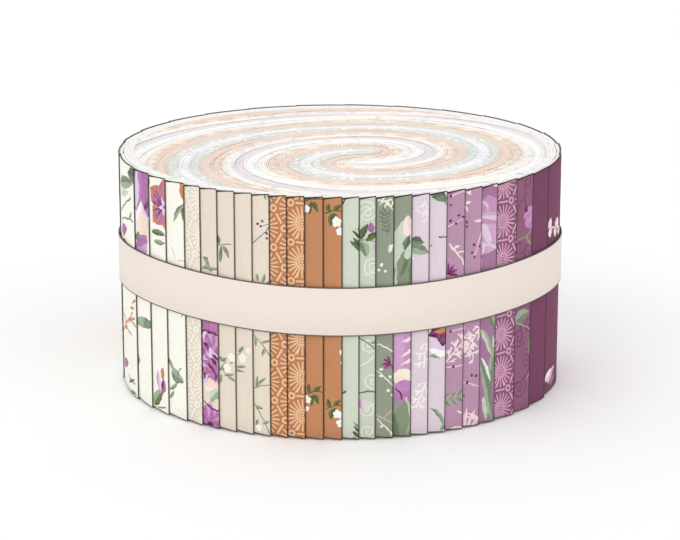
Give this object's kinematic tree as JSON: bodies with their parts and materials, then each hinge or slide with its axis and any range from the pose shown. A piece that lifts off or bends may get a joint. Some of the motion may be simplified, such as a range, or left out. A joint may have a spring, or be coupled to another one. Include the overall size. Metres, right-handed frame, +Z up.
{
  "type": "roll of quilting fabric strips",
  "caption": "Squat round roll of printed cotton quilting strips, wound in a double spiral, strip ends side by side round the outside, with a plain paper band round the middle.",
  "frame": {"origin": "middle of the flat underside, on the roll's axis", "axes": "+Z up along the roll's axis, -Y the front, +X to the right seen from the front"},
  "size_m": [0.1218, 0.1218, 0.0635],
  "materials": {
    "wound_cloth": "matt woven cotton, cut edges",
    "ivory_floral": "matt printed cotton",
    "petal_floral": "matt printed cotton",
    "ivory_sprig": "matt printed cotton",
    "beige_wheel": "matt printed cotton",
    "beige_floral": "matt printed cotton",
    "beige_sprig": "matt printed cotton",
    "beige_plain": "matt printed cotton",
    "beige_berry": "matt printed cotton",
    "terracotta_wheel": "matt printed cotton",
    "terracotta_sprig": "matt printed cotton",
    "pale_green": "matt printed cotton",
    "pale_scroll": "matt printed cotton",
    "sage_floral": "matt printed cotton",
    "lilac_twig": "matt printed cotton",
    "lilac_floral": "matt printed cotton",
    "mauve_twig": "matt printed cotton",
    "mauve_petal": "matt printed cotton",
    "plum_wheel": "matt printed cotton",
    "plum_scroll": "matt printed cotton",
    "plum_plain": "matt printed cotton",
    "plum_floral": "matt printed cotton",
    "band_paper": "uncoated paper"
  },
  "bodies": {
    "root": {"wound_roll": "wound_cloth", "strip_end_01": "ivory_floral", "strip_end_02": "petal_floral", "strip_end_03": "ivory_floral", "strip_end_04": "ivory_sprig", "strip_end_05": "beige_wheel", "strip_end_06": "beige_floral", "strip_end_07": "beige_sprig", "strip_end_08": "beige_plain", "strip_end_09": "beige_berry", "strip_end_10": "terracotta_wheel", "strip_end_11": "terracotta_wheel", "strip_end_12": "terracotta_sprig", "strip_end_13": "terracotta_sprig", "strip_end_14": "pale_green", "strip_end_15": "pale_scroll", "strip_end_16": "sage_floral", "strip_end_17": "sage_floral", "strip_end_18": "lilac_twig", "strip_end_19": "lilac_floral", "strip_end_20": "mauve_twig", "strip_end_21": "mauve_twig", "strip_end_22": "mauve_petal", "strip_end_23": "plum_wheel", "strip_end_24": "plum_scroll", "strip_end_25": "plum_plain", "strip_end_26": "plum_floral", "strip_end_27": "plum_wheel", "strip_end_28": "mauve_twig", "strip_end_29": "lilac_floral", "strip_end_30": "sage_floral", "strip_end_31": "pale_scroll", "strip_end_32": "terracotta_sprig", "strip_end_33": "beige_floral", "strip_end_34": "ivory_sprig", "strip_end_35": "petal_floral", "strip_end_36": "mauve_petal", "strip_end_37": "sage_floral", "strip_end_38": "terracotta_wheel", "strip_end_39": "beige_wheel", "strip_end_40": "ivory_floral", "paper_band": "band_paper"}
  },
  "joints": []
}
